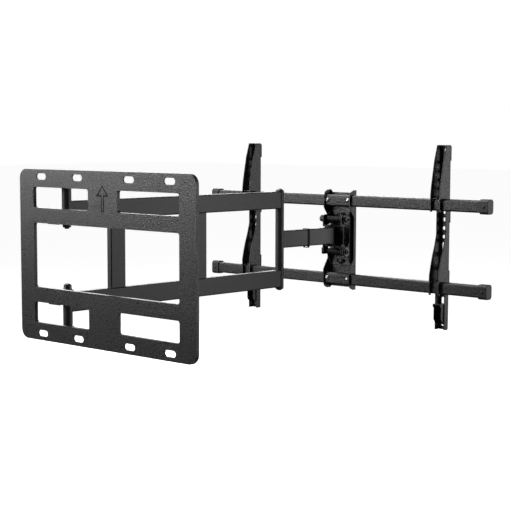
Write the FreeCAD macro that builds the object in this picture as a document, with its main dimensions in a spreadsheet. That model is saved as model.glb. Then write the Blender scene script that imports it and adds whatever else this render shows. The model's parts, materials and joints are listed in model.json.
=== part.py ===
import FreeCAD, Part
import Sketcher
import math
import os

# Full motion wall mount, millimetres. Origin: centre of the wall plate on its wall face.
# +X right, +Y from the wall into the room, +Z up.

doc = FreeCAD.newDocument("wall_mount")
sheet = doc.addObject("Spreadsheet::Sheet", "dims")
sheet.Label = "dims"

VALUES = [
    # wall plate: pressed pan with return rims
    ("plate_width", 510.0), ("plate_height", 357.0), ("plate_depth", 8.0), ("plate_skin", 3.0), ("plate_corner", 20.0),
    ("rim", 2.5), ("win_outer", 211.0), ("win_inner", 42.5), ("win_high", 141.5), ("win_low", 98.5), ("win_mid", 67.0), ("win_corner", 5.0),
    ("slot_outer", 186.0), ("slot_inner", 75.0), ("slot_level", 163.5), ("slot_long", 30.0), ("slot_wide", 13.0),
    ("mark_width", 36.0), ("mark_tip", 150.0), ("mark_barb", 128.5), ("mark_foot", 97.0), ("mark_stem", 8.5), ("mark_line", 2.2), ("mark_deep", 2.2),
    # wall hinge
    ("hinge_x", -159.0), ("hinge_y", 45.0), ("arm_level", -3.8), ("lug_thick", 5.0), ("leaf_thick", 4.0), ("lug_width", 34.0), ("lug_end", 13.0),
    ("bolt_radius", 5.0), ("play", 0.05), ("gap", 1.0), ("barrel_radius", 10.0), ("barrel_bore", 7.5), ("barrel_length", 70.0),
    # inner arm
    ("inner_angle", 4.5), ("inner_length", 634.8), ("frame_height", 233.4), ("bar_height", 41.6), ("bar_thick", 18.0), ("bar_wall", 2.5), ("bar_round", 3.0),
    ("strut_start", 110.0), ("strut_width", 40.0), ("strut_thick", 15.0), ("strut_second", 348.0),
    # elbow
    ("elbow_radius", 10.4), ("elbow_bore", 8.5), ("elbow_pin", 6.0), ("elbow_top", 115.0), ("elbow_upper", 43.0), ("elbow_lower", -67.0), ("elbow_bottom", -124.0),
    ("cap_height", 5.0), ("cap_radius", 9.6),
    # outer arm
    ("outer_level", -4.0), ("outer_height", 42.0), ("outer_thick", 18.0), ("outer_block", 14.0),
    ("clip_start", 88.5), ("clip_width", 6.0), ("clip_thick", 1.2),
    # swivel
    ("head_x", -88.0), ("swivel_y", 855.6), ("swivel_bolt", 6.0), ("swivel_bore", 7.4), ("swivel_plate", 4.0), ("swivel_end", 15.0), ("swivel_back", 11.4), ("swivel_sheet", 3.0),
    ("ear_half", 30.0), ("ear_sheet", 3.0), ("ear_front", 860.0), ("web_half", 15.0),
    # tilt
    ("tilt_y", 875.0), ("tilt_top", 37.0), ("tilt_drop", 82.0), ("tilt_bolt", 4.0), ("tilt_back_angle", 10.0), ("tilt_front_angle", 5.0), ("tilt_lobe", 10.0),
    ("tilt_half", 33.6), ("tilt_web", 3.2),
    # head
    ("rail_x", -86.4), ("rail_length", 866.0), ("rail_high", 28.8), ("rail_deep", 20.2), ("rail_face", 883.4), ("rail_mid", -16.2), ("rail_spacing", 200.0), ("rail_chamfer", 3.0), ("rail_wall", 2.0),
    ("channel_width", 84.0), ("channel_height", 253.5), ("channel_deep", 28.0), ("channel_waist", 10.0), ("channel_sheet", 2.5),
    ("cap_high", 35.0), ("cap_deep", 25.4), ("cap_long", 24.0), ("cap_chamfer", 5.0),
    # television brackets
    ("bracket_mid", -92.0), ("bracket_spacing", 600.0), ("bracket_width", 28.0), ("bracket_sheet", 2.5), ("bracket_level", 3.0), ("bracket_length", 447.0), ("bracket_stand", 17.0),
    ("bracket_nose", 45.0), ("bracket_gap", 0.3), ("bolt_slot", 9.0), ("vesa_height", 400.0), ("vesa_slot", 30.0), ("pad_thick", 4.0),
    ("lock_width", 22.4), ("lock_top", -156.0), ("lock_bottom", -208.0),
]
for row, (alias, number) in enumerate(VALUES, 1):
    sheet.set("A%d" % row, alias)
    sheet.set("B%d" % row, repr(number))
    sheet.setAlias("B%d" % row, alias)
doc.recompute()


class Q:
    """A number that remembers the sheet expression it comes from."""

    def __init__(self, value, text):
        self.v = float(value)
        self.t = text

    def mix(self, other, sign, flip=False):
        o = other if isinstance(other, Q) else Q(other, "(%.6f)" % other)
        a, b = (o, self) if flip else (self, o)
        v = {"+": a.v + b.v, "-": a.v - b.v, "*": a.v * b.v, "/": a.v / b.v if b.v else 0.0}[sign]
        return Q(v, "(%s %s %s)" % (a.t, sign, b.t))

    def __add__(self, o):
        return self.mix(o, "+")

    def __radd__(self, o):
        return self.mix(o, "+", True)

    def __sub__(self, o):
        return self.mix(o, "-")

    def __rsub__(self, o):
        return self.mix(o, "-", True)

    def __mul__(self, o):
        return self.mix(o, "*")

    def __rmul__(self, o):
        return self.mix(o, "*", True)

    def __truediv__(self, o):
        return self.mix(o, "/")

    def __neg__(self):
        return Q(-self.v, "(0 - %s)" % self.t)


D = {alias: Q(number, "dims." + alias) for alias, number in VALUES}


def num(q):
    return q.v if isinstance(q, Q) else float(q)


def bind(obj, prop, q):
    """Set a property from the sheet, or plainly when it is a fixed number."""
    if isinstance(q, Q):
        obj.setExpression(prop, q.t)


def place(obj, x=0, y=0, z=0, axis=None, angle=0):
    rot = FreeCAD.Rotation(FreeCAD.Vector(*axis), num(angle)) if axis else FreeCAD.Rotation()
    obj.Placement = FreeCAD.Placement(FreeCAD.Vector(num(x), num(y), num(z)), rot)
    bind(obj, "Placement.Base.x", x)
    bind(obj, "Placement.Base.y", y)
    bind(obj, "Placement.Base.z", z)
    if axis and isinstance(angle, Q):
        bind(obj, "Placement.Rotation.Angle", angle)
    return obj


count = [0]


def fresh(stem):
    count[0] += 1
    return "%s_%03d" % (stem, count[0])


def box(x, y, z, w, d, h):
    o = doc.addObject("Part::Box", fresh("box"))
    for prop, q in (("Length", w), ("Width", d), ("Height", h)):
        setattr(o, prop, num(q))
        bind(o, prop, q)
    return place(o, x, y, z)


def cyl(x, y, z, r, h, axis="Z"):
    o = doc.addObject("Part::Cylinder", fresh("cyl"))
    o.Radius, o.Height = num(r), num(h)
    bind(o, "Radius", r)
    bind(o, "Height", h)
    turn = {"Z": None, "X": ((0, 1, 0), 90), "Y": ((1, 0, 0), -90)}[axis]
    return place(o, x, y, z, *(turn or (None, 0)))


def cone(x, y, z, r1, r2, h, axis="Z"):
    o = doc.addObject("Part::Cone", fresh("cone"))
    o.Radius1, o.Radius2, o.Height = num(r1), num(r2), num(h)
    bind(o, "Radius1", r1)
    bind(o, "Radius2", r2)
    bind(o, "Height", h)
    turn = {"Z": None, "X": ((0, 1, 0), 90), "-X": ((0, 1, 0), -90), "Y": ((1, 0, 0), -90), "-Y": ((1, 0, 0), 90), "-Z": ((1, 0, 0), 180)}[axis]
    return place(o, x, y, z, *(turn or (None, 0)))


def hexagon(x, y, z, flats, h, axis="Z"):
    o = doc.addObject("Part::Prism", fresh("hexagon"))
    o.Polygon = 6
    o.Circumradius = num(flats) / math.sqrt(3)
    o.Height = num(h)
    bind(o, "Height", h)
    turn = {"Z": None, "X": ((0, 1, 0), 90), "Y": ((1, 0, 0), -90)}[axis]
    return place(o, x, y, z, *(turn or (None, 0)))


def dome(x, y, z, r, h, up=True, axis="Z"):
    """A low spherical cap: the slice of a ball that stands h above its base."""
    ball = (r * r + h * h) / (2 * h)
    o = doc.addObject("Part::Sphere", fresh("dome"))
    o.Radius = num(ball)
    bind(o, "Radius", ball)
    s = 1 if up else -1
    c = {"Z": (x, y, z + -s * (ball - h)), "X": (x - s * (ball - h), y, z), "Y": (x, y - s * (ball - h), z)}[axis]
    place(o, *c)
    trim = cyl(x, y, z, r + 1, h + 1, axis) if up else {
        "Z": lambda: cyl(x, y, z - (h + 1), r + 1, h + 1, "Z"),
        "X": lambda: cyl(x - (h + 1), y, z, r + 1, h + 1, "X"),
        "Y": lambda: cyl(x, y - (h + 1), z, r + 1, h + 1, "Y"),
    }[axis]()
    return common(o, trim)


def common(a, b):
    o = doc.addObject("Part::MultiCommon", fresh("common"))
    o.Shapes = [a, b]
    return o


def cut(a, b):
    o = doc.addObject("Part::Cut", fresh("cut"))
    o.Base, o.Tool = a, b
    return o


def fuse(*parts):
    o = doc.addObject("Part::MultiFuse", fresh("fuse"))
    o.Shapes = list(parts)
    return o


def group(*parts):
    """Identical pieces that share a node, kept as separate solids."""
    o = doc.addObject("Part::Compound", fresh("group"))
    o.Links = list(parts)
    return o


NODES = []


def node(label, obj):
    obj.Label = label
    NODES.append(obj)
    return obj


def arm_one(obj):
    return place(obj, D["hinge_x"], D["hinge_y"], 0, (0, 0, 1), -D["inner_angle"])


# elbow position in the row frame
ia = math.radians(D["inner_angle"].v)
elbow_x = Q(D["hinge_x"].v + D["inner_length"].v * math.sin(ia), "(dims.hinge_x + dims.inner_length * sin(dims.inner_angle * 1 deg))")
elbow_y = Q(D["hinge_y"].v + D["inner_length"].v * math.cos(ia), "(dims.hinge_y + dims.inner_length * cos(dims.inner_angle * 1 deg))")


# the outer arm runs from the elbow to the swivel axis
run_x, run_y = D["head_x"] - elbow_x, D["swivel_y"] - elbow_y
outer_angle = Q(math.degrees(math.atan2(run_x.v, run_y.v)), "(atan(%s / %s) / 1 deg)" % (run_x.t, run_y.t))
outer_length = Q(math.hypot(run_x.v, run_y.v), "sqrt(%s * %s + %s * %s)" % (run_x.t, run_x.t, run_y.t, run_y.t))


def arm_two(obj):
    return place(obj, elbow_x, elbow_y, 0, (0, 0, 1), -outer_angle)


# ---------------------------------------------------------------- sketch helpers
def plane(body, role):
    return [f for f in body.Origin.OriginFeatures if f.Role == role][0]


def new_body(label):
    b = doc.addObject("PartDesign::Body", fresh("body"))
    return node(label, b)


def sketch(body, role, offset=None):
    s = body.newObject("Sketcher::SketchObject", fresh("sketch"))
    s.AttachmentSupport = [(plane(body, role), "")]
    s.MapMode = "FlatFace"
    if offset is not None:
        s.AttachmentOffset = FreeCAD.Placement(FreeCAD.Vector(0, 0, num(offset)), FreeCAD.Rotation())
        bind(s, "AttachmentOffset.Base.z", offset)
    return s


def V(x, y):
    return FreeCAD.Vector(num(x), num(y), 0)


def fix(s, geo, pos, x, y):
    """Hold one point of a sketch at x, y from the sketch's origin."""
    for kind, q in (("DistanceX", x), ("DistanceY", y)):
        n = s.addConstraint(Sketcher.Constraint(kind, -1, 1, geo, pos, num(q)))
        bind(s, "Constraints[%d]" % n, q)


def polygon(s, pts):
    ids = []
    for i, (x, y) in enumerate(pts):
        x2, y2 = pts[(i + 1) % len(pts)]
        ids.append(s.addGeometry(Part.LineSegment(V(x, y), V(x2, y2)), False))
    for i, g in enumerate(ids):
        s.addConstraint(Sketcher.Constraint("Coincident", g, 2, ids[(i + 1) % len(ids)], 1))
    for g, (x, y) in zip(ids, pts):
        fix(s, g, 1, x, y)
    return ids


def circle(s, x, y, r):
    g = s.addGeometry(Part.Circle(V(x, y), FreeCAD.Vector(0, 0, 1), num(r)), False)
    fix(s, g, 3, x, y)
    n = s.addConstraint(Sketcher.Constraint("Radius", g, num(r)))
    bind(s, "Constraints[%d]" % n, r)
    return g


def rounded(s, x1, y1, x2, y2, r):
    """A rectangle with one corner radius, or a slot when the radius is half its width."""
    X1, Y1, X2, Y2, R = num(x1), num(y1), num(x2), num(y2), num(r)
    slot_h = abs((Y2 - Y1) - 2 * R) < 1e-6
    slot_v = abs((X2 - X1) - 2 * R) < 1e-6
    up = FreeCAD.Vector(0, 0, 1)
    if slot_h or slot_v:
        if slot_h:
            ca, cb = (x1 + r, y1 + r), (x2 - r, y1 + r)
            a0, b0 = math.pi / 2, -math.pi / 2
            la = (V(x1 + r, y1), V(x2 - r, y1))
            lb = (V(x2 - r, y2), V(x1 + r, y2))
        else:
            ca, cb = (x1 + r, y2 - r), (x1 + r, y1 + r)
            a0, b0 = 0.0, math.pi
            la = (V(x1, y2 - r), V(x1, y1 + r))
            lb = (V(x2, y1 + r), V(x2, y2 - r))
        ga = s.addGeometry(Part.ArcOfCircle(Part.Circle(V(*ca), up, R), a0, a0 + math.pi), False)
        g1 = s.addGeometry(Part.LineSegment(*la), False)
        gb = s.addGeometry(Part.ArcOfCircle(Part.Circle(V(*cb), up, R), b0, b0 + math.pi), False)
        g2 = s.addGeometry(Part.LineSegment(*lb), False)
        order = [ga, g1, gb, g2]
        for i in range(4):
            s.addConstraint(Sketcher.Constraint("Tangent", order[i], 2, order[(i + 1) % 4], 1))
        fix(s, ga, 3, *ca)
        fix(s, gb, 3, *cb)
        n = s.addConstraint(Sketcher.Constraint("Radius", ga, R))
        bind(s, "Constraints[%d]" % n, r)
        s.addConstraint(Sketcher.Constraint("Equal", ga, gb))
        return
    cs = [(x2 - r, y2 - r), (x1 + r, y2 - r), (x1 + r, y1 + r), (x2 - r, y1 + r)]
    arcs, lines = [], []
    for i, c in enumerate(cs):
        a = i * math.pi / 2
        arcs.append(s.addGeometry(Part.ArcOfCircle(Part.Circle(V(*c), up, R), a, a + math.pi / 2), False))
    ends = [(V(x2 - r, y2), V(x1 + r, y2)), (V(x1, y2 - r), V(x1, y1 + r)), (V(x1 + r, y1), V(x2 - r, y1)), (V(x2, y1 + r), V(x2, y2 - r))]
    for p, q in ends:
        lines.append(s.addGeometry(Part.LineSegment(p, q), False))
    for i in range(4):
        s.addConstraint(Sketcher.Constraint("Tangent", arcs[i], 2, lines[i], 1))
        s.addConstraint(Sketcher.Constraint("Tangent", lines[i], 2, arcs[(i + 1) % 4], 1))
    for a, c in zip(arcs, cs):
        fix(s, a, 3, *c)
        n = s.addConstraint(Sketcher.Constraint("Radius", a, R))
        bind(s, "Constraints[%d]" % n, r)


def arc_slot(s, cx, cy, rad, a1, a2, half):
    """A slot bent about cx, cy from angle a1 to a2 in degrees, built from four arcs."""
    up = FreeCAD.Vector(0, 0, 1)
    c = V(cx, cy)
    r1, r2 = math.radians(a1), math.radians(a2)
    R, Hh = num(rad), num(half)
    out = s.addGeometry(Part.ArcOfCircle(Part.Circle(c, up, R + Hh), r1, r2), False)
    inn = s.addGeometry(Part.ArcOfCircle(Part.Circle(c, up, R - Hh), r1, r2), False)
    e2 = c + FreeCAD.Vector(R * math.cos(r2), R * math.sin(r2), 0)
    e1 = c + FreeCAD.Vector(R * math.cos(r1), R * math.sin(r1), 0)
    t2 = s.addGeometry(Part.ArcOfCircle(Part.Circle(e2, up, Hh), r2, r2 + math.pi), False)
    t1 = s.addGeometry(Part.ArcOfCircle(Part.Circle(e1, up, Hh), r1 + math.pi, r1 + 2 * math.pi), False)
    s.addConstraint(Sketcher.Constraint("Coincident", out, 2, t2, 1))
    s.addConstraint(Sketcher.Constraint("Coincident", t2, 2, inn, 2))
    s.addConstraint(Sketcher.Constraint("Coincident", inn, 1, t1, 1))
    s.addConstraint(Sketcher.Constraint("Coincident", t1, 2, out, 1))
    fix(s, out, 3, cx, cy)
    s.addConstraint(Sketcher.Constraint("Coincident", out, 3, inn, 3))
    fix(s, t2, 3, e2.x, e2.y)
    s.addConstraint(Sketcher.Constraint("DistanceX", -1, 1, t1, 3, e1.x))
    n = s.addConstraint(Sketcher.Constraint("Radius", t2, Hh))
    bind(s, "Constraints[%d]" % n, half)


def volume(body):
    return body.Shape.Volume if not body.Shape.isNull() else 0.0


def pad(body, s, length, both=False, back=False):
    p = body.newObject("PartDesign::Pad", fresh("pad"))
    p.Profile = s
    p.Length = num(length)
    bind(p, "Length", length)
    if both:
        p.Midplane = True
    if back:
        p.Reversed = True
    doc.recompute()
    return p


def pocket(body, s, length=None, both=False, back=False, through=False):
    before = volume(body)
    p = body.newObject("PartDesign::Pocket", fresh("pocket"))
    p.Profile = s
    if through:
        p.Type = "ThroughAll"
    else:
        p.Length = num(length)
        bind(p, "Length", length)
    if both:
        p.Midplane = True
    if back:
        p.Reversed = True
    doc.recompute()
    if not volume(body) < before - 0.5:
        raise RuntimeError("pocket %s of %s removed nothing" % (p.Name, body.Label))
    return p


def round_edges(body, radius, test):
    """Fillet the edges of the last feature that pass a test on their middle point and direction."""
    doc.recompute()
    tip = body.Tip
    names = []
    for i, e in enumerate(tip.Shape.Edges, 1):
        if e.Curve.TypeId == "Part::GeomLine":
            mid = e.valueAt((e.FirstParameter + e.LastParameter) / 2)
            d = e.tangentAt(e.FirstParameter)
            if test(mid, d, e.Length):
                names.append("Edge%d" % i)
    if not names:
        raise RuntimeError("no edge to round on " + body.Label)
    f = body.newObject("PartDesign::Fillet", fresh("fillet"))
    f.Base = (tip, names)
    f.Radius = num(radius)
    bind(f, "Radius", radius)
    doc.recompute()
    return f


# ================================================================ wall plate
W, H = D["plate_width"], D["plate_height"]
WINDOWS = [
    (-D["win_outer"], D["win_low"], -D["win_inner"], D["win_high"]),
    (D["win_inner"], D["win_low"], D["win_outer"], D["win_high"]),
    (-D["win_outer"], -D["win_mid"], D["win_outer"], D["win_mid"]),
    (-D["win_outer"], -D["win_high"], -D["win_inner"], -D["win_low"]),
    (D["win_inner"], -D["win_high"], D["win_outer"], -D["win_low"]),
]
b = new_body("wall_plate")
s = sketch(b, "XZ_Plane")
rounded(s, -W / 2, -H / 2, W / 2, H / 2, D["plate_corner"])
for x1, z1, x2, z2 in WINDOWS:
    rounded(s, x1, z1, x2, z2, D["win_corner"])
pad(b, s, D["plate_depth"], back=True)
# the hollow behind the skin, between the return rims
s = sketch(b, "XZ_Plane", -D["plate_depth"])
m = D["rim"]
rounded(s, -W / 2 + m, -H / 2 + m, W / 2 - m, H / 2 - m, D["plate_corner"] - m)
for x1, z1, x2, z2 in WINDOWS:
    rounded(s, x1 - m, z1 - m, x2 + m, z2 + m, D["win_corner"] + m)
pocket(b, s, D["plate_depth"] - D["plate_skin"], back=True)
# eight wall bolt slots through the skin
s = sketch(b, "XZ_Plane")
a, hw = D["slot_long"] / 2, D["slot_wide"] / 2
for px in (-D["slot_outer"], -D["slot_inner"], D["slot_inner"], D["slot_outer"]):
    for pz in (-D["slot_level"], D["slot_level"]):
        rounded(s, px - a, pz - hw, px + a, pz + hw, hw)
pocket(b, s, D["plate_depth"])
# outlined upward mark cut into the wall face
s = sketch(b, "XZ_Plane")
mw, st = D["mark_width"] / 2, D["mark_stem"] / 2
polygon(s, [(-st, D["mark_foot"]), (st, D["mark_foot"]), (st, D["mark_barb"]), (mw, D["mark_barb"]), (0.0, D["mark_tip"]), (-mw, D["mark_barb"]), (-st, D["mark_barb"])])
ml, mt, mb, mf = D["mark_line"], D["mark_tip"], D["mark_barb"], D["mark_foot"]
polygon(s, [(ml - st, mf + ml), (st - ml, mf + ml), (st - ml, mb + ml), (mw - ml * 2.2, mb + ml), (0.0, mt - ml * 1.56), (ml * 2.2 - mw, mb + ml), (ml - st, mb + ml)])
pocket(b, s, D["mark_deep"])

# ================================================================ wall hinge
hx, hy, al = D["hinge_x"], D["hinge_y"], D["arm_level"]
half_frame = D["frame_height"] / 2
up_low = al + half_frame - D["bar_height"]        # underside of the upper bar and its barrel
low_high = al - half_frame + D["bar_height"]      # top of the lower bar and its barrel
br, lt, gp = D["bolt_radius"], D["lug_thick"], D["gap"]


def lug(label, z_leaf, leaf_low, leaf_high):
    """Welded L bracket: an upright leaf on the plate's rims and a level lug with a round end."""
    w, y0 = D["lug_width"], D["plate_depth"]
    leaf = box(hx - w / 2, y0, leaf_low, w, D["leaf_thick"], leaf_high - leaf_low)
    arm = box(hx - D["lug_end"], y0, z_leaf, D["lug_end"] * 2, hy - y0, lt)
    end = cyl(hx, hy, z_leaf, D["lug_end"], lt)
    hole = cyl(hx, hy, z_leaf - 5, br + 0.05, lt + 10)
    return node(label, cut(fuse(leaf, arm, end), hole))


z_ub, z_ut = up_low - gp - lt, up_low + D["barrel_length"] + gp
z_lt, z_lb = low_high + gp, low_high - D["barrel_length"] - gp - lt
lug("upper_hinge_bottom_lug", z_ub, z_ub, z_ub + 31)
lug("upper_hinge_top_lug", z_ut, z_ut, D["slot_level"] - D["slot_wide"] / 2 - 1)
lug("lower_hinge_top_lug", z_lt, z_lt - 24, z_lt + lt)
lug("lower_hinge_bottom_lug", z_lb, -(D["slot_level"] - D["slot_wide"] / 2 - 1), -D["win_high"] - 0.5)


def hinge_bolt(z_low, z_head):
    shank = cyl(hx, hy, z_low, br, z_head - z_low)
    flange = cyl(hx, hy, z_head, 9.5, 1.6)
    neck = cyl(hx, hy, z_head + 1.6, 8.4, 6.4)
    top = dome(hx, hy, z_head + 8.0, 8.4, 5.2)
    return fuse(shank, flange, neck, top)


def hex_nut(x, y, z, flats, high, hole, axis="Z"):
    """A hexagon nut with its corners rounded off towards both faces."""
    h2 = high / 2
    mid = {"Z": (x, y, z + h2), "X": (x + h2, y, z), "Y": (x, y + h2, z)}[axis]
    ball = doc.addObject("Part::Sphere", fresh("ball"))
    ball.Radius = math.sqrt((1.02 * flats / 2) ** 2 + h2 * h2)
    place(ball, *mid)
    k = {"Z": (x, y, z - 1), "X": (x - 1, y, z), "Y": (x, y - 1, z)}[axis]
    return cut(common(hexagon(x, y, z, flats, high, axis), ball), cyl(k[0], k[1], k[2], hole, high + 2, axis))


node("wall_hinge_bolts", group(hinge_bolt(z_ub - 11, z_ut + lt), hinge_bolt(z_lb - 11, z_lt + lt)))
node("wall_hinge_nuts", group(hex_nut(hx, hy, z_ub - 8, 16.0, 8.0, br + 0.02), hex_nut(hx, hy, z_lb - 8, 16.0, 8.0, br + 0.02)))


def ring(x, y, z, r_out, r_in, h, axis="Z"):
    o = cyl(x, y, z, r_out, h, axis)
    k = {"Z": (x, y, z - 1), "X": (x - 1, y, z), "Y": (x, y - 1, z)}[axis]
    return cut(o, cyl(k[0], k[1], k[2], r_in, h + 2, axis))


node("wall_hinge_washers", group(*[ring(hx, hy, z + 0.05, 9.2, br + 0.1, gp - 0.1) for z in (up_low - gp, up_low + D["barrel_length"], low_high, low_high - D["barrel_length"] - gp)]))

# ================================================================ inner arm (drawn along +Y from the wall hinge, then turned)
L1, bt, bh, bw = D["inner_length"], D["bar_thick"], D["bar_height"], D["bar_wall"]


def tube_bar(label, z0, height, start, end, r_start, r_end, r0, r1, set_in):
    """A rounded rectangular tube along +Y whose ends are coped round the barrels."""
    t = new_body(label)
    k = sketch(t, "XZ_Plane", -start)
    r = D["bar_round"]
    rounded(k, -bt / 2, z0, bt / 2, z0 + height, r)
    rounded(k, -bt / 2 + bw, z0 + bw, bt / 2 - bw, z0 + height - bw, 1.0)
    pad(t, k, end - start, back=True)
    for centre, radius in ((r0, r_start), (r1, r_end)):
        if radius is not None:
            k = sketch(t, "XY_Plane", z0 - 1)
            circle(k, 0.0, centre, radius)
            pocket(t, k, height + 2, back=True)
    return set_in(t)


def barrel(label, y, z0, length, r_out, r_in, set_in):
    return node(label, set_in(cut(cyl(0, y, z0, r_out, length), cyl(0, y, z0 - 1, r_in, length + 2))))


rb, eb = D["barrel_radius"] + 0.05, D["elbow_radius"] + 0.05
tube_bar("inner_arm_upper_tube", up_low, bh, Q(2.0, "2"), L1 - 2, rb, eb, 0.0, L1, arm_one)
tube_bar("inner_arm_lower_tube", low_high - bh, bh, Q(2.0, "2"), L1 - 2, rb, eb, 0.0, L1, arm_one)
for label, y0 in (("near_strut", D["strut_start"]), ("far_strut", D["strut_second"])):
    t = new_body(label)
    k = sketch(t, "XY_Plane", low_high)
    sw, sk = D["strut_width"], D["strut_thick"] / 2
    rounded(k, -sk, y0, sk, y0 + sw, 2.5)
    rounded(k, -sk + 2, y0 + 2, sk - 2, y0 + sw - 2, 1.0)
    pad(t, k, up_low - low_high)
    arm_one(t)
bl, bb = D["barrel_length"], D["barrel_bore"]
barrel("upper_wall_barrel", 0, up_low, bl, D["barrel_radius"], bb, arm_one)
barrel("lower_wall_barrel", 0, low_high - bl, bl, D["barrel_radius"], bb, arm_one)
er, ep = D["elbow_radius"], D["elbow_pin"]
barrel("upper_elbow_barrel", L1, D["elbow_upper"], D["elbow_top"] - D["elbow_upper"], er, ep + 0.02, arm_one)
barrel("lower_elbow_barrel", L1, D["elbow_bottom"], D["elbow_lower"] - D["elbow_bottom"], er, ep + 0.02, arm_one)
bushes = []
for z in (up_low, up_low + bl - 18, low_high - bl, low_high - 18):
    bushes.append(ring(0, 0, z, bb - 0.02, br + D["play"], 18))
node("wall_hinge_bushes", arm_one(group(*bushes)))
node("elbow_pin", arm_one(fuse(cyl(0, L1, D["elbow_bottom"], ep, D["elbow_top"] - D["elbow_bottom"]), cyl(0, L1, D["elbow_bottom"], ep, 10.0))))
node("elbow_caps", arm_one(group(dome(0, L1, D["elbow_top"], D["cap_radius"], D["cap_height"]), dome(0, L1, D["elbow_bottom"], D["cap_radius"], D["cap_height"], False))))

# ================================================================ outer arm (drawn along +Y from the elbow, then turned)
L2, oz, oh = outer_length, D["outer_level"], D["outer_height"]
obk = D["outer_block"]
oy_end = L2 - obk
t = tube_bar("outer_arm_tube", oz - oh / 2, oh, Q(2.0, "2"), oy_end, eb, None, 0.0, None, arm_two)
mid_low, mid_high = D["elbow_lower"] + gp, D["elbow_upper"] - gp
barrel("middle_elbow_barrel", 0, mid_low, mid_high - mid_low, er, D["elbow_bore"], arm_two)
node("elbow_bushes", arm_two(group(*[ring(0, 0, z, D["elbow_bore"] - 0.02, ep + D["play"], 22) for z in (mid_low, mid_high - 22)])))
node("elbow_washers", arm_one(group(*[ring(0, L1, z + 0.05, er - 0.6, ep + 0.1, gp - 0.1) for z in (D["elbow_lower"], D["elbow_upper"] - gp)])))
ot = D["outer_thick"] / 2
blk = fuse(box(-ot, oy_end, oz - oh / 2, ot * 2, obk, oh), cyl(0, L2, oz - oh / 2, ot, oh))
node("outer_arm_end", arm_two(cut(blk, cyl(0, L2, oz - oh, D["swivel_bore"], oh * 2))))
node("swivel_bush", arm_two(ring(0, L2, oz - oh / 2, D["swivel_bore"] - 0.02, D["swivel_bolt"] + D["play"], oh)))
ct, cs, cw = D["clip_thick"], D["clip_start"], D["clip_width"]
ring_out = box(-ot - ct, cs, oz - oh / 2 - ct, ot * 2 + ct * 2, cw, oh + ct * 2)
ring_in = box(-ot - 0.05, cs - 1, oz - oh / 2 - 0.05, ot * 2 + 0.1, cw + 2, oh + 0.1)
loop = cut(box(-ot + 1, cs, oz - oh / 2 - ct - 3.2, ot * 2 - 2, cw, 3.7), box(-ot + 2.2, cs - 1, oz - oh / 2 - ct - 2.0, ot * 2 - 4.4, cw + 2, 2.0))
node("cable_clip", arm_two(fuse(cut(ring_out, ring_in), loop)))

# ================================================================ swivel bracket
sx, sy = D["head_x"], D["swivel_y"]
pt, sb = D["swivel_plate"], D["swivel_sheet"]
top_z, bot_z = oz + oh / 2 + gp, oz - oh / 2 - gp - pt
eh, es = D["ear_half"], D["ear_sheet"]
ty, tz, dr = D["tilt_y"], D["tilt_top"], D["tilt_drop"]
yb = sy + D["swivel_back"]


t = new_body("swivel_bracket")
front, wh = D["ear_front"], D["web_half"]
# narrow web behind the arm end
k = sketch(t, "YZ_Plane", sx - wh)
polygon(k, [(yb - 1.8, top_z + pt), (yb + 1, top_z + pt), (yb + 1, bot_z), (yb - 1.8, bot_z)])
pad(t, k, wh - 2)
# back plate over the full width
k = sketch(t, "YZ_Plane", sx - eh)
polygon(k, [(yb, top_z + pt), (yb + sb, top_z + pt), (yb + sb, bot_z), (yb, bot_z)])
pad(t, k, eh * 2)
# level leaves above and below the arm end
for z in (top_z, bot_z):
    k = sketch(t, "XY_Plane", z)
    u = FreeCAD.Vector(0, 0, 1)
    R = D["swivel_end"]
    g0 = k.addGeometry(Part.ArcOfCircle(Part.Circle(V(sx, sy), u, num(R)), math.pi, 2 * math.pi), False)
    pts = [(sx + R, sy), (sx + eh, front), (sx + eh, yb + sb + 1), (sx - eh, yb + sb + 1), (sx - eh, front), (sx - R, sy)]
    ids = [k.addGeometry(Part.LineSegment(V(*pts[i]), V(*pts[i + 1])), False) for i in range(5)]
    fix(k, g0, 3, sx, sy)
    n = k.addConstraint(Sketcher.Constraint("Radius", g0, num(R)))
    bind(k, "Constraints[%d]" % n, R)
    k.addConstraint(Sketcher.Constraint("Coincident", g0, 2, ids[0], 1))
    for i in range(4):
        k.addConstraint(Sketcher.Constraint("Coincident", ids[i], 2, ids[i + 1], 1))
    k.addConstraint(Sketcher.Constraint("Coincident", ids[4], 2, g0, 1))
    for i in range(1, 5):
        fix(k, ids[i], 1, *pts[i])
    for point in (1, 2):
        n = k.addConstraint(Sketcher.Constraint("DistanceY", -1, 1, g0, point, num(sy)))
        bind(k, "Constraints[%d]" % n, sy)
    pad(t, k, pt)
# ears turned up from the top leaf and down from the bottom leaf
for x in (sx - eh, sx + eh - es):
    k = sketch(t, "YZ_Plane", x)
    polygon(k, [(front, top_z), (front, tz + 7.0), (front + 4, tz + 11.0), (front + 23, tz + 11.0), (front + 27, tz + 7.0), (front + 27, tz - 7.0), (front + 20, top_z + 5.5), (front + 11.5, top_z)])
    pad(t, k, es)
    k = sketch(t, "YZ_Plane", x)
    polygon(k, [(front, bot_z + pt), (front, tz - dr - 3.5), (front + 4, tz - dr - 8.0), (front + 18.5, tz - dr - 8.0), (front + 21.5, tz - dr - 5.0), (front + 21.5, tz - dr + 8.0), (front + 18, bot_z - 4.0),
                (front + 11.5, bot_z + pt)])
    pad(t, k, es)
k = sketch(t, "XY_Plane", bot_z - 1)
circle(k, sx, sy, D["swivel_bolt"] + 0.03)
pocket(t, k, oh + pt * 2 + 4, back=True)
# holes for the pivot bolt and the clamp bolt
k = sketch(t, "YZ_Plane", sx - 50)
circle(k, ty, tz, D["tilt_bolt"] + 0.02)
circle(k, ty, tz - dr, D["tilt_bolt"] + 0.02)
pocket(t, k, 100, back=True)

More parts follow.
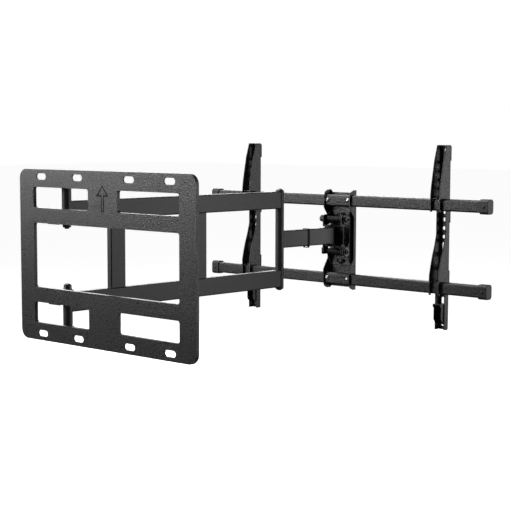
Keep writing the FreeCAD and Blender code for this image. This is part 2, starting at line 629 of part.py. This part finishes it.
sz = D["swivel_bolt"]
node("swivel_bolt", fuse(cyl(sx, sy, bot_z - 8, sz, top_z + pt - bot_z + 8), cyl(sx, sy, top_z + pt, 10.0, 1.5), dome(sx, sy, top_z + pt + 1.5, 9.0, 5.0)))
node("swivel_nut", hex_nut(sx, sy, bot_z - 6, 14.0, 6.0, sz + 0.02))
node("swivel_washers", group(ring(sx, sy, top_z - gp + 0.05, 8.6, sz + 0.1, gp - 0.1), ring(sx, sy, bot_z + pt + 0.05, 8.6, sz + 0.1, gp - 0.1)))
th, tb = D["tilt_half"], D["tilt_bolt"]
# pivot bolt across both ears, with a round head on the left and a nut on the right
node("tilt_pivot_bolt", fuse(cyl(sx - th - 14.5, ty, tz, tb, th * 2 + 23.5, "X"), cyl(sx - th - 2.4, ty, tz, 9.0, 1.8, "X"), common(hexagon(sx - th - 12.4, ty, tz, 15.0, 10.2, "X"), cone(sx - th - 14.4, ty, tz, 6.5, 16.0, 13.0, "X"))))
node("tilt_pivot_nut", hex_nut(sx + th + 0.6, ty, tz, 13.0, 6.5, tb + 0.02, "X"))

# ================================================================ tilt bracket
t = new_body("tilt_bracket")
web_y = D["rail_face"] + D["rail_deep"] - 0.3 - D["tilt_web"]
lobe = D["tilt_lobe"]
bz = tz - dr
k = sketch(t, "YZ_Plane", sx - th)
polygon(k, [(web_y + D["tilt_web"], 58.0), (web_y - 2, 58.0), (ty + 8, tz + lobe), (ty - 6, tz + lobe), (ty - lobe, tz + 6), (ty - lobe, tz - 8), (ty - 6, tz - 12), (ty + 4, tz - 12),
            (web_y - 12, 16.0), (web_y - 12, -24.0), (ty + 6, bz + 12), (ty - 9, bz + 12), (front + 0.4, bz + 7), (front + 0.4, bz - 5), (ty - 11, bz - 8.5), (ty + 8, bz - 8.5),
            (web_y - 2, -82.0), (web_y + D["tilt_web"], -82.0)])
pad(t, k, th * 2)
k = sketch(t, "YZ_Plane", sx - th + es)
polygon(k, [(web_y, 90.0), (ty - 40, 90.0), (ty - 40, -110.0), (web_y, -110.0)])
pocket(t, k, th * 2 - es * 2, back=True)
k = sketch(t, "YZ_Plane", sx - 50)
circle(k, ty, tz, tb + 0.05)
arc_slot(k, ty, tz, dr, 270 - D["tilt_front_angle"].v - 0.5, 270 + D["tilt_back_angle"].v + 0.5, tb + 0.4)
pocket(t, k, 100, back=True)
# level slots and the centre hole in the web; the sketch is seen from the wall
rm = D["rail_mid"]
lv_low, lv_high = 56.0, 62.0
k = sketch(t, "XZ_Plane", -(web_y - 10))
circle(k, sx, rm, tb + 0.02)
arc_slot(k, sx, rm, lv_low, 270 - 11, 270 + 11, 4.3)
arc_slot(k, sx, rm, lv_high, 90 - 11, 90 + 11, 4.3)
pocket(t, k, 20)
# lower clamp bolt through the curved slots
node("tilt_clamp_bolt", fuse(cyl(sx - th - 1.8, ty, bz, tb, th * 2 + 9.3, "X"), cyl(sx - th - 1.6, ty, bz, 8.0, 1.0, "X"), dome(sx - th - 1.6, ty, bz, 7.6, 1.4, False, "X"), dome(sx + th + 7.5, ty, bz, 3.6, 1.2, True, "X")))
node("tilt_clamp_nut", fuse(hex_nut(sx + th + 2.6, ty, bz, 13.0, 3.4, tb + 0.02, "X"), ring(sx + th + 0.6, ty, bz, 11.0, tb + 0.02, 2.0, "X")))
web_b = D["rail_face"] + D["rail_deep"]
cs_ = D["channel_sheet"]
node("level_pivot_bolt", fuse(cyl(sx, web_y - 1, rm, tb, web_b + cs_ + 7 - web_y, "Y"), cyl(sx, web_y - 1.5, rm, 9.0, 1.5, "Y"), dome(sx, web_y - 1.5, rm, 8.0, 4.0, False, "Y")))
node("level_pivot_nut", hex_nut(sx, web_b + cs_ + 0.3, rm, 13.0, 5.0, tb + 0.02, "Y"))

# ================================================================ head channel
t = new_body("head_channel")
cwid, chh = D["channel_width"], D["channel_height"]
back = web_b + cs_
dp, wa = D["channel_deep"], D["channel_waist"]
zt_, zb_ = rm + chh / 2, rm - chh / 2
k = sketch(t, "YZ_Plane", sx - cwid / 2)
polygon(k, [(back, zt_), (back - dp + 16, zt_), (back - dp + 5, zt_ - 5), (back - dp, zt_ - 16), (back - dp, 66.0), (back - wa, 42.0), (back - wa, -66.0), (back - dp, -93.0),
            (back - dp, zb_ + 16), (back - dp + 5, zb_ + 5), (back - dp + 16, zb_), (back, zb_)])
pad(t, k, cwid)
k = sketch(t, "YZ_Plane", sx - cwid / 2 + cs_)
polygon(k, [(web_b, zt_ + 10), (back - dp - 20, zt_ + 10), (back - dp - 20, zb_ - 10), (web_b, zb_ - 10)])
pocket(t, k, cwid - cs_ * 2, back=True)
k = sketch(t, "XZ_Plane", -(web_b - 1))
hw = cwid / 2 - cs_
polygon(k, [(sx - hw, zt_ + 2), (sx - hw + 6, zt_ - 6.5), (sx + hw - 3, zt_ - 6.5), (sx + hw, zt_ + 2)])
polygon(k, [(sx - hw, zb_ - 2), (sx - hw + 4, zb_ + 5), (sx + hw - 3, zb_ + 5), (sx + hw, zb_ - 2)])
pocket(t, k, 20)
rh, rd, rf = D["rail_high"], D["rail_deep"], D["rail_face"]
r_up, r_low = rm + D["rail_spacing"] / 2, rm - D["rail_spacing"] / 2
k = sketch(t, "YZ_Plane", sx - 80)
for zc in (r_up, r_low):
    c_ = D["rail_chamfer"]
    y0, y1, z0, z1 = rf - 0.1, rf + rd, zc - rh / 2 - 0.1, zc + rh / 2 + 0.1
    polygon(k, [(y0, z0 + c_), (y0 + c_, z0), (y1 - c_, z0), (y1, z0 + c_), (y1, z1 - c_), (y1 - c_, z1), (y0 + c_, z1), (y0, z1 - c_)])
pocket(t, k, 160, back=True)
k = sketch(t, "XZ_Plane", -(web_b - 1))
circle(k, sx, rm, tb + 0.05)
pocket(t, k, 20)
# two level clamp bolts fixed in the channel, their heads over the tilt bracket's slots
lv = []
for zz in (rm - lv_low, rm + lv_high):
    lv.append(fuse(cyl(sx, web_y - 0.5, zz, 3.9, web_b - web_y + 0.5, "Y"), cyl(sx, web_y - 0.6 - 1.4, zz, 7.5, 1.5, "Y"), dome(sx, web_y - 2.0, zz, 6.2, 3.2, False, "Y")))
node("level_clamp_bolts", group(*lv))

# ================================================================ rails
rx, rl = D["rail_x"], D["rail_length"]
screw_x = (sx - 32.5, sx + 31.5)
for label, zc in (("upper_rail", r_up), ("lower_rail", r_low)):
    t = new_body(label)
    k = sketch(t, "YZ_Plane", rx - rl / 2)
    for inset, ch in ((0.0, D["rail_chamfer"]), (D["rail_wall"], D["rail_chamfer"] - 0.8)):
        y0, y1, z0, z1 = rf + inset, rf + rd - inset, zc - rh / 2 + inset, zc + rh / 2 - inset
        polygon(k, [(y0, z0 + ch), (y0 + ch, z0), (y1 - ch, z0), (y1, z0 + ch), (y1, z1 - ch), (y1 - ch, z1), (y0 + ch, z1), (y0, z1 - ch)])
    pad(t, k, rl)
    k = sketch(t, "XZ_Plane", -(rf - 1))
    for x in screw_x:
        circle(k, x, zc, 3.0)
    pocket(t, k, rd + 2)
k = None
rs = []
for zc in (r_up, r_low):
    for x in screw_x:
        rs.append(fuse(cyl(x, rf - 0.5, zc, 2.9, rd + 0.4, "Y"), cyl(x, rf - 1.2, zc, 6.0, 1.2, "Y"), dome(x, rf - 1.2, zc, 5.2, 2.8, False, "Y")))
node("rail_screws", group(*rs))


def octagon(y0, y1, z0, z1, ch):
    return [(y0, z0 + ch), (y0 + ch, z0), (y1 - ch, z0), (y1, z0 + ch), (y1, z1 - ch), (y1 - ch, z1), (y0 + ch, z1), (y0, z1 - ch)]


cap_names = []
kh, kd, kl, kc = D["cap_high"], D["cap_deep"], D["cap_long"], D["cap_chamfer"]
yc = rf + rd / 2
for label, x_end, side in (("right", rx + rl / 2, 1), ("left", rx - rl / 2, -1)):
    for level, zc in (("upper", r_up), ("lower", r_low)):
        t = new_body("%s_rail_%s_cap" % (level, label))
        x0 = x_end + 3 - kl if side > 0 else x_end - 3
        k = sketch(t, "YZ_Plane", x0)
        polygon(k, octagon(yc - kd / 2, yc + kd / 2, zc - kh / 2, zc + kh / 2, kc))
        pad(t, k, kl)
        k = sketch(t, "YZ_Plane", x0 if side > 0 else x0 + 3)
        polygon(k, octagon(rf - 0.05, rf + rd + 0.05, zc - rh / 2 - 0.05, zc + rh / 2 + 0.05, D["rail_chamfer"]))
        pocket(t, k, kl - 3, back=True)
cscr = []
for x in (rx + rl / 2 - 9, rx - rl / 2 + 9):
    for zc in (r_up, r_low):
        cscr.append(dome(x, yc - kd / 2, zc, 4.2, 2.2, False, "Y"))
node("end_cap_screws", group(*cscr))

# ================================================================ television brackets
bzc, bl_, bsh, bwd = D["bracket_level"], D["bracket_length"], D["bracket_sheet"], D["bracket_width"]
face = web_b + D["bracket_stand"]
zhi, zlo = bzc + bl_ / 2, bzc - bl_ / 2
g = D["bracket_gap"]


def tv_bracket(label, xc):
    t = new_body(label)
    k = sketch(t, "YZ_Plane", xc - bwd / 2)
    in_y, out_y, nose = web_b + g, rf - g, face - D["bracket_nose"]

    def at(d, z):
        return (face - d, z)

    polygon(k, [at(0.0, zhi), at(18.0, zhi), at(30.0, 190.0), at(42.0, 130.0), (nose, 108.0), (nose, r_up - rh / 2 - 2), (out_y, r_up - rh / 2 - 2),
                (out_y, r_up + rh / 2 + g), (in_y, r_up + rh / 2 + g), (in_y, 10.0), at(24.0, -15.5), at(33.0, -40.0), at(40.0, -64.0), (nose, -86.0),
                (nose, r_low - rh / 2 - 3), (out_y, r_low - rh / 2 - 3), (out_y, r_low + rh / 2 + g), (in_y, r_low + rh / 2 + g), (in_y, zlo), at(0.0, zlo)])
    pad(t, k, bwd)
    k = sketch(t, "YZ_Plane", xc - bwd / 2 + bsh)
    polygon(k, [(face - bsh, zhi + 10), (face - 80, zhi + 10), (face - 80, zlo - 10), (face - bsh, zlo - 10)])
    pocket(t, k, bwd - bsh * 2, back=True)
    k = sketch(t, "XZ_Plane", -(face - 10))
    h = D["bolt_slot"] / 2
    half = D["vesa_slot"] / 2
    for zc in (bzc + D["vesa_height"] / 2, bzc - D["vesa_height"] / 2):
        rounded(k, xc - h, zc - half, xc + h, zc + half, h)
    for i in range(6):
        z = 68.5 + 21.0 * i
        rounded(k, xc - h, z - 7.5, xc + h, z + 7.5, h)
    for z in (47.5, 26.5, 5.5):
        circle(k, xc, z, h)
    for z in (-20.0, -54.0, -88.0, -122.0):
        rounded(k, xc - h, z - 13.0, xc + h, z + 13.0, h)
    rounded(k, xc - h, -163.0, xc + h, -141.0, h)
    pocket(t, k, 20)
    return t


def pads(label, xc):
    parts = []
    for z0, z1 in ((189.0, 224.0), (40.0, 67.0), (-108.0, -76.0)):
        for side in (-13.5, 5.5):
            parts.append(box(xc + side, face, z0, 8.0, D["pad_thick"], z1 - z0))
    return node(label, group(*parts))


def lock(label, screw_label, xc):
    t = new_body(label)
    w, ztop, zbot = D["lock_width"], D["lock_top"], D["lock_bottom"]
    y_in = face - bsh - 0.2
    k = sketch(t, "YZ_Plane", xc - w / 2)
    polygon(k, [(y_in, ztop), (y_in - 28, ztop), (y_in - 28, ztop - 6), (y_in - 24, ztop - 10), (y_in - 24, zbot + 14), (y_in - 12, zbot), (y_in, zbot)])
    pad(t, k, w)
    k = sketch(t, "YZ_Plane", xc - w / 2 + 2)
    polygon(k, [(y_in - 2.5, ztop - 2.5), (y_in - 60, ztop - 2.5), (y_in - 60, zbot - 5), (y_in - 2.5, zbot - 5)])
    pocket(t, k, w - 4, back=True)
    k = sketch(t, "XZ_Plane", -(y_in - 10))
    circle(k, xc, -184.0, 3.0)
    pocket(t, k, 20)
    scr = fuse(cyl(xc, y_in - 3.0, -184, 2.95, 3.0, "Y"), cyl(xc, y_in - 3.5, -184, 6.5, 1.0, "Y"), cut(cyl(xc, y_in - 9.0, -184, 5.0, 5.5, "Y"), hexagon(xc, y_in - 9.5, -184, 5.0, 4.0, "Y")))
    node(screw_label, scr)


for side, xc in (("left", D["bracket_mid"] - D["bracket_spacing"] / 2), ("right", D["bracket_mid"] + D["bracket_spacing"] / 2)):
    tv_bracket(side + "_tv_bracket", xc)
    pads(side + "_tv_pads", xc)
    lock(side + "_lock_slider", side + "_lock_screw", xc)

# ================================================================ check and write
doc.recompute()
bad = [o.Name for o in doc.Objects if "Invalid" in o.State or "Error" in o.State]
if bad:
    raise RuntimeError("failed objects: " + ", ".join(bad))
os.makedirs("parts", exist_ok=True)
total = 0
for o in NODES:
    shape = o.Shape
    if shape.isNull() or not shape.isValid() or not shape.Solids:
        raise RuntimeError("bad shape: " + o.Label)
    total += len(shape.Solids)
    bb_ = shape.BoundBox
    print("%-26s solids %d volume %9.0f  x %.1f %.1f  y %.1f %.1f  z %.1f %.1f" % (o.Label, len(shape.Solids), shape.Volume, bb_.XMin, bb_.XMax, bb_.YMin, bb_.YMax, bb_.ZMin, bb_.ZMax))
    shape.exportStep("parts/%s.step" % o.Label)
print("nodes", len(NODES), "solids", total)
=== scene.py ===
import bpy
import bmesh
import json
import math
from mathutils import Matrix, Vector


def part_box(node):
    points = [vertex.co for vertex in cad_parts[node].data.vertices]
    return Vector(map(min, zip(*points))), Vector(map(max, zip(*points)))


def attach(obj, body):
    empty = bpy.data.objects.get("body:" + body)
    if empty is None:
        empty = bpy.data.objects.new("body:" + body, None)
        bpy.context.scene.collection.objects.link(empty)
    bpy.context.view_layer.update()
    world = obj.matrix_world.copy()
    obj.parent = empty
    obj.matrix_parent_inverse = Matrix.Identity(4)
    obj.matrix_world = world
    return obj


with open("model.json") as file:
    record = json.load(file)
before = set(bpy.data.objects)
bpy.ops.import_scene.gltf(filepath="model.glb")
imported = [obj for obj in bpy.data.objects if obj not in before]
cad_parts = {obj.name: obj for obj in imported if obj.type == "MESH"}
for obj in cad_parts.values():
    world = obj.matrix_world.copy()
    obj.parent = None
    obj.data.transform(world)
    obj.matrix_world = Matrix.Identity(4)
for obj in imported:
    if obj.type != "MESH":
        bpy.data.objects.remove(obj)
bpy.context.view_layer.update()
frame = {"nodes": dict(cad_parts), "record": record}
NODES = frame["nodes"]
REC = frame["record"]
scene = bpy.context.scene

# ------------------------------------------------------------------ materials


def material(name):
    m = bpy.data.materials.new(name)
    m.use_nodes = True
    t = m.node_tree
    t.nodes.clear()
    out = t.nodes.new("ShaderNodeOutputMaterial")
    b = t.nodes.new("ShaderNodeBsdfPrincipled")
    t.links.new(b.outputs["BSDF"], out.inputs["Surface"])
    return m, t, b


def noise(t, scale, detail=2.0, rough=0.5, vec=None):
    n = t.nodes.new("ShaderNodeTexNoise")
    n.inputs["Scale"].default_value = scale
    n.inputs["Detail"].default_value = detail
    n.inputs["Roughness"].default_value = rough
    if vec is not None:
        t.links.new(vec, n.inputs["Vector"])
    return n


def ramp(t, src, stops):
    r = t.nodes.new("ShaderNodeValToRGB")
    e = r.color_ramp.elements
    while len(e) < len(stops):
        e.new(0.5)
    for el, (p, c) in zip(e, stops):
        el.position = p
        el.color = (c[0], c[1], c[2], 1.0)
    t.links.new(src, r.inputs["Fac"])
    return r


def maprange(t, src, a, b, c, d):
    n = t.nodes.new("ShaderNodeMapRange")
    for k, v in (("From Min", a), ("From Max", b), ("To Min", c), ("To Max", d)):
        n.inputs[k].default_value = v
    t.links.new(src, n.inputs["Value"])
    return n.outputs["Result"]


def coated(name, dark, light, rough, grain, grain_h, spread=0.08, spec=0.5, peel=None, painted_grain_light=0.0):
    """Black powder coat: fine grain in the height and in the gloss, slow tone drift, and grain colour that follows the
    height: painted shade in the hollows, painted highlight on the peaks.
    """
    m, t, b = material(name)
    co = t.nodes.new("ShaderNodeTexCoord").outputs["Object"]
    fine = noise(t, grain, 3.0, 0.55, co)
    broad = noise(t, 9.0, 3.0, 0.5, co)
    speck = noise(t, grain * 0.42, 2.0, 0.6, co)
    tone = ramp(t, broad.outputs["Fac"], [(0.3, dark), (0.7, light)])
    mix = t.nodes.new("ShaderNodeMix")
    mix.data_type = "RGBA"
    mix.blend_type = "MULTIPLY"
    mix.inputs["Factor"].default_value = 1.0
    # Painted light: the grain's hollows are darkened and its peaks brightened several times over, by the same noise
    # that raises the bump.
    lo, hi = max(0.1, 0.8 - 0.6 * painted_grain_light), 1.2 + 2.6 * painted_grain_light
    grain_shade_highlight = ramp(t, fine.outputs["Fac"], [(0.44, (lo, lo, lo)), (0.60, (hi, hi, hi))])
    t.links.new(tone.outputs["Color"], mix.inputs["A"])
    t.links.new(grain_shade_highlight.outputs["Color"], mix.inputs["B"])
    t.links.new(mix.outputs["Result"], b.inputs["Base Color"])
    t.links.new(maprange(t, speck.outputs["Fac"], 0.3, 0.7, rough - spread, rough + spread), b.inputs["Roughness"])
    b.inputs["Specular IOR Level"].default_value = spec
    bump = t.nodes.new("ShaderNodeBump")
    bump.inputs["Strength"].default_value = 1.0
    bump.inputs["Distance"].default_value = grain_h
    t.links.new(fine.outputs["Fac"], bump.inputs["Height"])
    last = bump
    if peel:
        wave = noise(t, peel[0], 1.0, 0.4, co)
        b2 = t.nodes.new("ShaderNodeBump")
        b2.inputs["Strength"].default_value = 1.0
        b2.inputs["Distance"].default_value = peel[1]
        t.links.new(wave.outputs["Fac"], b2.inputs["Height"])
        t.links.new(bump.outputs["Normal"], b2.inputs["Normal"])
        last = b2
    t.links.new(last.outputs["Normal"], b.inputs["Normal"])
    return m


def metal(name, dark, light, rough, scratch=(60.0, 60.0, 900.0), h=0.00004):
    m, t, b = material(name)
    co = t.nodes.new("ShaderNodeTexCoord").outputs["Object"]
    mp = t.nodes.new("ShaderNodeMapping")
    mp.inputs["Scale"].default_value = scratch
    t.links.new(co, mp.inputs["Vector"])
    lines = noise(t, 1.0, 3.0, 0.6, mp.outputs["Vector"])
    cloud = noise(t, 140.0, 3.0, 0.6, co)
    t.links.new(ramp(t, cloud.outputs["Fac"], [(0.3, dark), (0.7, light)]).outputs["Color"], b.inputs["Base Color"])
    b.inputs["Metallic"].default_value = 1.0
    t.links.new(maprange(t, lines.outputs["Fac"], 0.3, 0.7, rough - 0.08, rough + 0.1), b.inputs["Roughness"])
    bump = t.nodes.new("ShaderNodeBump")
    bump.inputs["Strength"].default_value = 0.6
    bump.inputs["Distance"].default_value = h
    t.links.new(lines.outputs["Fac"], bump.inputs["Height"])
    t.links.new(bump.outputs["Normal"], b.inputs["Normal"])
    return m


g = lambda v: (v, v, v * 1.03)
MATS = {
    "grain_black": coated("grain_black", g(0.006), g(0.009), 0.33, 370.0, 0.00065, 0.08, 0.42, (800.0, 0.00020), 1.7),
    "smooth_black": coated("smooth_black", g(0.022), g(0.028), 0.42, 1500.0, 0.00005, 0.05, 0.5, (120.0, 0.00005), 0.2),
    "bracket_black": coated("bracket_black", g(0.007), g(0.011), 0.33, 420.0, 0.00075, 0.08, 0.42, (900.0, 0.00012), 1.7),
    "zinc_steel": metal("zinc_steel", (0.50, 0.50, 0.52), (0.72, 0.72, 0.74), 0.28),
    "black_steel": coated("black_steel", g(0.010), g(0.018), 0.32, 1400.0, 0.00003, 0.06, 0.6, None, 0.2),
    "black_plastic": coated("black_plastic", g(0.010), g(0.015), 0.50, 1300.0, 0.00010, 0.07, 0.45, (220.0, 0.00003), 0.3),
    "nylon": coated("nylon", g(0.018), g(0.026), 0.55, 900.0, 0.00004, 0.05, 0.4, None, 0.2),
    # Near-black matt coat for the arrow groove: painted shade in the recess.
    "mark_painted_shade": coated("mark_painted_shade", g(0.002), g(0.004), 0.85, 900.0, 0.00006, 0.05, 0.05, None, 0.2),
    # Near-black matt coat for the bolt tubes and the cable clip: painted shade.
    "painted_shade_black": coated("painted_shade_black", g(0.004), g(0.007), 0.62, 900.0, 0.00006, 0.06, 0.25, (260.0, 0.00003), 0.2),
    # Darker, duller copy of the bracket coat: painted shade on the swivel bracket.
    "swivel_painted_shade": coated("swivel_painted_shade", g(0.006), g(0.011), 0.40, 700.0, 0.00020, 0.07, 0.30, (900.0, 0.00006), 0.6),
    "pad_rubber": coated("pad_rubber", g(0.010), g(0.016), 0.75, 800.0, 0.00012, 0.05, 0.3, None, 0.4),
}
SLOT = {s["node"]: s["material_slot"] for s in REC["subparts"]}
# Painted shade: the swivel bracket and cable clip take darker copies of their coatings in place of their own.
SHADE_OVERRIDE = {"swivel_bracket": "swivel_painted_shade", "cable_clip": "painted_shade_black"}
BEVEL = {
    "wall_plate": 0.0006, "swivel_bracket": 0.0006, "tilt_bracket": 0.0006, "head_channel": 0.0007, "left_tv_bracket": 0.0006, "right_tv_bracket": 0.0006,
    "left_lock_slider": 0.0005, "right_lock_slider": 0.0005, "upper_rail_right_cap": 0.001, "lower_rail_right_cap": 0.001,
    "upper_rail_left_cap": 0.001, "lower_rail_left_cap": 0.001, "upper_rail": 0.0007, "lower_rail": 0.0007,
    "upper_hinge_bottom_lug": 0.0006, "upper_hinge_top_lug": 0.0006, "lower_hinge_top_lug": 0.0006, "lower_hinge_bottom_lug": 0.0006,
    "wall_hinge_nuts": 0.0003, "swivel_nut": 0.0003, "tilt_pivot_nut": 0.0003, "tilt_clamp_nut": 0.0003, "cable_clip": 0.0004,
    "left_tv_pads": 0.0006, "right_tv_pads": 0.0006, "near_strut": 0.0003, "far_strut": 0.0003, "outer_arm_end": 0.0012,
    "upper_wall_barrel": 0.0006, "lower_wall_barrel": 0.0006, "upper_elbow_barrel": 0.0006, "lower_elbow_barrel": 0.0006, "middle_elbow_barrel": 0.0006,
}
for name, o in NODES.items():
    o.data.materials.clear()
    o.data.materials.append(MATS[SHADE_OVERRIDE.get(name, SLOT[name])])
    for p in o.data.polygons:
        p.use_smooth = True
    w = o.modifiers.new("weld", "WELD")
    w.merge_threshold = 0.00001
    if name in BEVEL:
        bv = o.modifiers.new("edge", "BEVEL")
        bv.width = BEVEL[name]
        bv.segments = 2
        bv.limit_method = "ANGLE"
        bv.angle_limit = math.radians(28)
        bv.use_clamp_overlap = True
    wn = o.modifiers.new("flats", "WEIGHTED_NORMAL")
    wn.mode = "FACE_AREA"
    wn.weight = 100
    wn.keep_sharp = True
    o.data.set_sharp_from_angle(angle=math.radians(28))

# ------------------------------------------------------------------ near-black tubes on the tilt bolts, painted shade over the bolt shanks


def shade_spacer(name, x0, x1, y, z, r_in, r_out):
    """Near-black moulded tube with rolled ends and three shallow grooves, turned round the bolt; it darkens the bolt
    shank where shade falls, as painted shade.
    """
    n = 40
    prof = [(x0, r_in), (x0, r_out - 0.0006), (x0 + 0.0003, r_out - 0.0002), (x0 + 0.0009, r_out)]
    for i in range(3):
        c = x0 + (x1 - x0) * (0.25 + 0.25 * i)
        prof += [(c - 0.0012, r_out), (c - 0.0007, r_out - 0.0006), (c + 0.0007, r_out - 0.0006), (c + 0.0012, r_out)]
    prof += [(x1 - 0.0009, r_out), (x1 - 0.0003, r_out - 0.0002), (x1, r_out - 0.0006), (x1, r_in)]
    b = bmesh.new()
    rings = []
    for px, pr in prof:
        rings.append([b.verts.new((px, y + pr * math.cos(2 * math.pi * j / n), z + pr * math.sin(2 * math.pi * j / n))) for j in range(n)])
    rings.append(rings[0])
    for p, q in zip(rings[:-1], rings[1:]):
        for j in range(n):
            b.faces.new((p[j], p[(j + 1) % n], q[(j + 1) % n], q[j]))
    bmesh.ops.recalc_face_normals(b, faces=b.faces)
    m = bpy.data.meshes.new(name)
    b.to_mesh(m)
    b.free()
    for f in m.polygons:
        f.use_smooth = True
    m.set_sharp_from_angle(angle=math.radians(40))
    o = bpy.data.objects.new(name, m)
    scene.collection.objects.link(o)
    m.materials.append(MATS["painted_shade_black"])
    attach(o, "swivel")
    return o


def mark_groove_shade():
    """Near-black matt layer lying in the groove of the upward mark: painted shade in the groove."""
    cx = (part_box("wall_plate")[0][0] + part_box("wall_plate")[1][0]) / 2
    outer = [(-4.2, 97.05), (4.2, 97.05), (4.2, 128.55), (17.9, 128.55), (0.0, 149.9), (-17.9, 128.55), (-4.2, 128.55)]
    inner = [(-2.1, 99.15), (2.1, 99.15), (2.1, 130.65), (13.2, 130.65), (0.0, 146.6), (-13.2, 130.65), (-2.1, 130.65)]
    b = bmesh.new()
    lev = []
    for y in (0.0004, 0.00215):
        lev.append(([b.verts.new((cx + x / 1000, y, z / 1000)) for x, z in outer], [b.verts.new((cx + x / 1000, y, z / 1000)) for x, z in inner]))
    n = len(outer)
    for j in range(n):
        q = (j + 1) % n
        for o_, i_ in lev:
            b.faces.new((o_[j], o_[q], i_[q], i_[j]))
        for k in (0, 1):
            b.faces.new((lev[0][k][j], lev[0][k][q], lev[1][k][q], lev[1][k][j]))
    bmesh.ops.recalc_face_normals(b, faces=b.faces)
    m = bpy.data.meshes.new("mark_groove_shade")
    b.to_mesh(m)
    b.free()
    o = bpy.data.objects.new("mark_groove_shade", m)
    scene.collection.objects.link(o)
    m.materials.append(MATS["mark_painted_shade"])
    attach(o, "wall_frame")


mark_groove_shade()


def middle(node):
    lo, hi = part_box(node)
    return (lo[1] + hi[1]) / 2, (lo[2] + hi[2]) / 2


ear_lo, ear_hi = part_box("swivel_bracket")
# Near-black tubes between the ears darken the bolt shanks: painted shade.
for label in ("pivot", "clamp"):
    cy, cz = middle("tilt_%s_nut" % label)
    shade_spacer("tilt_%s_spacer" % label, ear_lo[0] + 0.0035, ear_hi[0] - 0.0035, cy, cz, 0.0047, 0.0074)

# ------------------------------------------------------------------ camera, at the photograph's viewing angle
F = 1265.54
C = Vector((1.8594, -1.6871, 0.2531))
phi, th, rho = math.radians(40.888), math.radians(5.4884), math.radians(0.1467)
fwd = Vector((-math.sin(phi) * math.cos(th), math.cos(phi) * math.cos(th), -math.sin(th)))
right = Vector((math.cos(phi), math.sin(phi), 0.0))
up = right.cross(fwd)
r2 = right * math.cos(rho) + up * math.sin(rho)
u2 = -right * math.sin(rho) + up * math.cos(rho)
cam_data = bpy.data.cameras.new("camera")
cam = bpy.data.objects.new("camera", cam_data)
scene.collection.objects.link(cam)
cam.matrix_world = Matrix(((r2.x, u2.x, -fwd.x, C.x), (r2.y, u2.y, -fwd.y, C.y), (r2.z, u2.z, -fwd.z, C.z), (0, 0, 0, 1)))
cam_data.sensor_fit = "HORIZONTAL"
cam_data.sensor_width = 36.0
cam_data.lens = F / 510.0 * 36.0
cam_data.clip_start = 0.05
cam_data.clip_end = 100.0
scene.camera = cam

# ------------------------------------------------------------------ stage and light
world = bpy.data.worlds.new("studio")
world.use_nodes = True
wt = world.node_tree
bg = wt.nodes["Background"]
bg.inputs["Color"].default_value = (1.0, 1.0, 1.0, 1.0)
bg.inputs["Strength"].default_value = 0.09
white = wt.nodes.new("ShaderNodeBackground")
white.inputs["Color"].default_value = (1.0, 1.0, 1.0, 1.0)
white.inputs["Strength"].default_value = 1.0
seen = wt.nodes.new("ShaderNodeLightPath")
both = wt.nodes.new("ShaderNodeMixShader")
wt.links.new(seen.outputs["Is Camera Ray"], both.inputs["Fac"])
wt.links.new(bg.outputs["Background"], both.inputs[1])
wt.links.new(white.outputs["Background"], both.inputs[2])
wt.links.new(both.outputs["Shader"], wt.nodes["World Output"].inputs["Surface"])
scene.world = world
scene.view_settings.view_transform = "Standard"
scene.view_settings.look = "None"

bm = bmesh.new()
bmesh.ops.create_grid(bm, x_segments=8, y_segments=8, size=30.0)
me = bpy.data.meshes.new("floor")
bm.to_mesh(me)
bm.free()
floor = bpy.data.objects.new("floor", me)
floor.location = (0, 0, -0.75)
scene.collection.objects.link(floor)
fm, ft, fb = material("floor")
fco = ft.nodes.new("ShaderNodeTexCoord").outputs["Object"]
fn = noise(ft, 3.0, 2.0, 0.5, fco)
ft.links.new(ramp(ft, fn.outputs["Fac"], [(0.3, (0.93, 0.93, 0.93)), (0.7, (0.96, 0.96, 0.96))]).outputs["Color"], fb.inputs["Base Color"])
fb.inputs["Roughness"].default_value = 0.9
fb.inputs["Specular IOR Level"].default_value = 0.1
fb.inputs["Emission Color"].default_value = (1.0, 1.0, 1.0, 1.0)
fb.inputs["Emission Strength"].default_value = 0.88
floor.data.materials.append(fm)
floor.visible_diffuse = False
floor.visible_glossy = False


def area(name, loc, target, size, power, size_y=None):
    ld = bpy.data.lights.new(name, "AREA")
    ld.shape = "RECTANGLE"
    ld.size = size
    ld.size_y = size_y or size
    ld.energy = power
    o = bpy.data.objects.new(name, ld)
    o.location = loc
    o.rotation_euler = (Vector(target) - Vector(loc)).to_track_quat("-Z", "Y").to_euler()
    o.visible_camera = False
    scene.collection.objects.link(o)
    return o


area("key", (-2.4, -2.1, 1.75), (0.0, 0.3, 0.1), 2.6, 18.0, 1.5)
area("band", (-2.5, -2.2, 0.72), (0.0, 0.0, 0.12), 2.6, 82.0, 0.42)
area("side", (2.3, 2.7, 0.25), (0.0, 0.5, 0.0), 2.6, 35.0, 1.9)
area("top", (-1.35, 0.75, 2.35), (0.1, 0.8, 0.0), 2.2, 70.0, 1.5)
area("rim", (-2.6, 2.9, 0.8), (0.0, 0.4, 0.0), 2.6, 50.0, 1.2)
